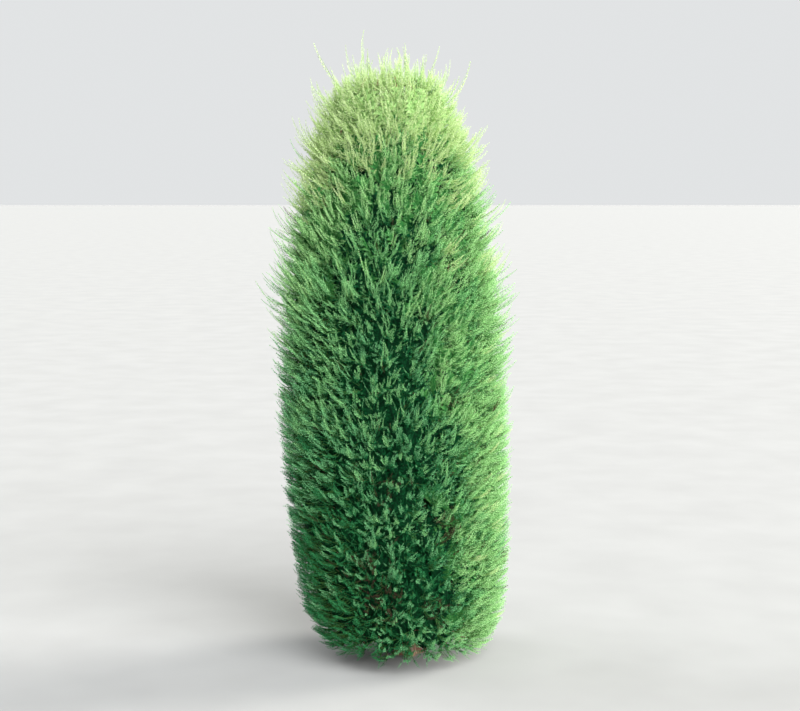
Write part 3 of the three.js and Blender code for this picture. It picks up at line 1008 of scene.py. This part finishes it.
# %% [markdown]
# Sixteen shoots, in four lengths and four bows, keep neighbours from looking alike once they are turned and
# sized. Each has three parts that fit together: its stem, the older needles low on it and the new growth at
# its end. The parts go into three collections, in the same order. The two straighter bows are for shoots
# that fill in, and the two deeper ones for plumes.

# %% Sixteen shoots in three parts
SHOOT_LENGTHS = [0.055, 0.080, 0.115, 0.190]
SAGS = (0.04, 0.09, 0.22, 0.34)
NEW_GROWTH_FROM = 0.56
FOOT_RING_SPACING = 0.0135
TIP_RING_SPACING = (0.0068, 0.0068, 0.0060, 0.0060)
STEM_RADIUS = 0.0011

stem_material = needle_material("young_bark", "2a5224", "5c8a48", roughness=0.7)
light_stem_material = needle_material("light_young_bark", "789c54", "a4c47a", roughness=0.7)
part_collections = {part: bpy.data.collections.new(part + "_parts") for part in ("stem", "foot", "tip")}


def stem_mesh(name, length, sag):
    """A three-sided stem along the shoot's bow: straight, or with a bend where the bow is deep."""
    bend = Vector((0, -sag, length / 2))
    points, faces = [], [(2, 1, 0)]
    shares = (0,) if sag < 0.1 * length else (0, 0.5)
    for t in shares:
        centre = bend * (2 * t * (1 - t)) + Vector((0, 0, length)) * t * t
        for k in range(3):
            points.append(centre + on_ring(1, math.tau * k / 3) * STEM_RADIUS * (1 - 0.5 * t))
    points.append(bend * 0.11 + Vector((0, 0, length)) * 0.89)
    for k in range(3):
        j = (k + 1) % 3
        if len(shares) == 2:
            faces.append((k, j, j + 3, k + 3))
        last = 3 * len(shares) - 3
        faces.append((last + k, last + j, len(points) - 1))
    return pattern(name, points, faces, [0.3] * len(points))


for i, length in enumerate(SHOOT_LENGTHS):
    for j, sag_share in enumerate(SAGS):
        number = i * len(SAGS) + j
        sag = length * sag_share
        values = {"Length": length, "Sag": sag, "Colour": bark}
        foot = {
            "Needle": old_needle,
            "Needles From": 0.10,
            "Needles To": NEW_GROWTH_FROM - 0.02,
            "Rings": round(length * (NEW_GROWTH_FROM - 0.12) / FOOT_RING_SPACING),
            "Open Angle": (1.05, 1.05, 0.95, 0.7)[i],
            "Swept Angle": (0.95, 0.95, 0.8, 0.6)[i],
            "Seed": 10 * number,
        }
        tip = {
            "Needle": needle if j > 1 else old_needle,
            "Needles From": NEW_GROWTH_FROM,
            "Needles To": 1.0 - 0.004 / length,
            "Rings": round(length * (1 - NEW_GROWTH_FROM) / TIP_RING_SPACING[j]),
            "Open Angle": (0.62, 0.60, 0.54, 0.45)[i],
            "Swept Angle": (0.28, 0.28, 0.25, 0.22)[i],
            "Seed": 10 * number + 5,
        }
        part_collections["stem"].objects.link(stem_mesh(f"stem_{number:02d}", length, sag))
        for part, numbers in (("foot", foot), ("tip", tip)):
            holder = add_object("holder", bpy.data.meshes.new("holder"))
            made = run_tree(holder, shoot_tree, values | numbers, f"{part}_{number:02d}")
            part_collections[part].objects.link(made)
            bpy.context.collection.objects.unlink(made)

# %% [markdown]
# ## Shoots on the crown
# Every shoot is one point, at its root, that carries the directions of its tip and of its back, its size, its
# roll and the number of its shape. One tree puts the parts on the points: the long axis of a part follows the
# first direction, and its second axis turns to the other, so with a back that looks up all shoots bow the
# right way. The tree runs once for each colour, and stems are paler only under lime needles, which is in part
# painted light.

# %% The tree of the crown
crown_tree, crown, given = geometry_tree("shoots on points", {"Parts": "Collection", "Colour": "Material"})


def read(name, kind="FLOAT"):
    return crown.add("GeometryNodeInputNamedAttribute", {"data_type": kind}, {"Name": name})


facing = crown.add(
    "FunctionNodeAxesToRotation",
    {"primary_axis": "Z", "secondary_axis": "Y"},
    {"Primary Axis": read("aim", "FLOAT_VECTOR"), "Secondary Axis": read("back", "FLOAT_VECTOR")},
)
rolled = turned_on(crown, facing, "Z", read("roll"))
parts = crown.add(
    "GeometryNodeCollectionInfo",
    sockets={"Collection": given["Parts"], "Separate Children": True, "Reset Children": True},
)
placed = crown.add(
    "GeometryNodeInstanceOnPoints",
    sockets={
        "Points": given["Geometry"], "Instance": parts, "Pick Instance": True,
        "Instance Index": read("shape", "INT"), "Rotation": rolled, "Scale": read("size"),
    },
)
finish_tree(crown, placed, given["Colour"])


def point_cloud(rows):
    """A mesh of loose points from rows of root, aim, back, size, roll and shape."""
    mesh = bpy.data.meshes.new("points")
    mesh.from_pydata([row[0] for row in rows], [], [])
    for column, name in ((1, "aim"), (2, "back")):
        flat = [number for row in rows for number in row[column]]
        mesh.attributes.new(name, "FLOAT_VECTOR", "POINT").data.foreach_set("vector", flat)
    for column, name, kind in ((3, "size", "FLOAT"), (4, "roll", "FLOAT"), (5, "shape", "INT")):
        values = [row[column] for row in rows]
        mesh.attributes.new(name, kind, "POINT").data.foreach_set("value", values)
    return add_object("points", mesh)


def row_of(shoot, number):
    """The row of one shoot: the nearest length of the set, sized to end at the shoot's own tip."""
    _, root, tip, _, _, in_plume = shoot
    span = (tip - root).length
    nearest = min(range(len(SHOOT_LENGTHS)), key=lambda i: abs(math.log(span / SHOOT_LENGTHS[i])))
    draw = random.Random(number)
    shape = nearest * len(SAGS) + draw.randrange(2) + (2 if in_plume else 0)
    size = span / SHOOT_LENGTHS[nearest]
    return root, (tip - root) / span, UP, size, draw.uniform(-0.7, 0.7), shape


MOST_TRIANGLES = 190000
needle_pieces = []


def set_out(name, rows, parts, colour, nodes, colour_name):
    """One piece: a collection's parts, set out on rows, with the nodes that it stands for."""
    piece = run_tree(point_cloud(rows), crown_tree, {"Parts": parts, "Colour": colour}, name)
    needle_pieces.append((piece, sorted(set(nodes)), colour_name))
    print(f"{name}: {len(rows)} places, {triangles(piece)} triangles")


def dress(part, colour_name, colour, chosen):
    """Pieces of one part and one colour, each small enough to be kept whole."""
    sizes = [triangles(o) for o in sorted(part_collections[part].objects, key=lambda o: o.name)]
    rows = [row_of(shoots[number], number) for number in chosen]
    total = sum(sizes[row[-1]] for row in rows)
    count = math.ceil(total / MOST_TRIANGLES)
    for k in range(count):
        some = slice(len(rows) * k // count, len(rows) * (k + 1) // count)
        name = f"{part}_{colour_name}" + (f"_{k + 1}" if count > 1 else "")
        nodes = [shoots[number][0] for number in chosen[some]]
        set_out(name, rows[some], part_collections[part], colour, nodes, colour_name)


# %% Dress the crown, one colour at a time
for tint, colour in needle_colours.items():
    for part, column in (("tip", 3), ("foot", 4)):
        chosen = [number for number, shoot in enumerate(shoots) if shoot[column] == tint]
        if chosen:
            dress(part, tint, colour, chosen)
# Stems under lime needles get the paler bark: partly yellower young growth, partly painted light like those
# needles.
light_stems = [number for number, shoot in enumerate(shoots) if shoot[3] == "lime"]
dark_stems = [number for number, shoot in enumerate(shoots) if shoot[3] != "lime"]
dress("stem", "light_bark", light_stem_material, light_stems)
dress("stem", "bark", stem_material, dark_stems)

# %% [markdown]
# ## Old sprays inside
# Behind the living shoots a dense juniper is full of shaded sprays that let no light through. Nobody sees
# their needles one by one, so each is a comb of ten teeth, folded along its middle. They stand up along the
# branchlets with their broad side outwards, because one that points at the viewer hides next to nothing.

# %% Toothed blades on the branchlets
SPRAY_TEETH = 5
SPRAY_HALF_WIDTH = 0.24
TOOTH_FORWARD = 0.20
SPRAY_FOLD = 0.35

blade_points = []
blade_faces = []
blade_along = []
for i in range(SPRAY_TEETH):
    low, high = i / SPRAY_TEETH, (i + 1) / SPRAY_TEETH
    reach = SPRAY_HALF_WIDTH * math.sin(math.pi * mix(0.18, 0.92, low))
    for hand in (-1, 1):
        first = len(blade_points)
        tooth = (hand * reach, -SPRAY_FOLD * reach, high + TOOTH_FORWARD * (1 - low))
        blade_points += [(0, 0, low), (0, 0, min(high + 0.06, 1)), tooth]
        # The rib stays at 0 and the tooth tips at 0.8: painted shade along the fold and painted light on the
        # teeth.
        blade_along += [0, 0, 0.8]
        blade_faces.append((first, first + 1, first + 2)[::hand])
blade_collection = bpy.data.collections.new("blades")
blade_collection.objects.link(pattern("blade", blade_points, blade_faces, blade_along))
for kind in ("shade", "fern", "moss"):
    nodes, rows, _ = zip(*(spray for spray in old_sprays if spray[-1] == kind))
    set_out(f"old_sprays_{kind}", rows, blade_collection, needle_colours[kind], nodes, kind)

# %% [markdown]
# ## The floor
# The plant stands alone on a plain pale floor, which is only a stage and no part of it.

# %% The floor
FLOOR_HALF = 150.0
floor_material, recipe, shader, place = new_material("pale_floor", (0.8, 0.8, 0.8))
floor_stops = [(0.3, (0.25, 0.25, 0.245)), (0.7, (0.27, 0.27, 0.265))]
ramp(noise_on(place, 3.0), floor_stops).into(shader, "Base Color")
shader.inputs["Roughness"].default_value = 0.9
corners = ((-1, -1), (1, -1), (1, 1), (-1, 1))
floor_points = [Vector((x, y, 0)) * FLOOR_HALF for x, y in corners]
floor = mesh_object("floor", [(floor_points, [(0, 1, 2, 3)])], floor_material)

# %% [markdown]
# ## Fix every piece to the frame
# The plant has no joints, so all of it rides on the one body. Each piece hides the solids that it stands for.

# %% Ride and replace
wood = (trunk, boughs, twigs, branchlets)
for piece in wood:
    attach(piece, "root")
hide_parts("trunk")
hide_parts(*bough_nodes)
slots = dict.fromkeys(("lime", "moss", "light_bark"), "tip_needles")
slots |= dict.fromkeys(("fresh", "green", "fern"), "fresh_needles")
slots |= dict.fromkeys(("dead", "bark"), "bark")
for piece, nodes, colour_name in needle_pieces:
    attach(piece, "root")
    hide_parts(*nodes)

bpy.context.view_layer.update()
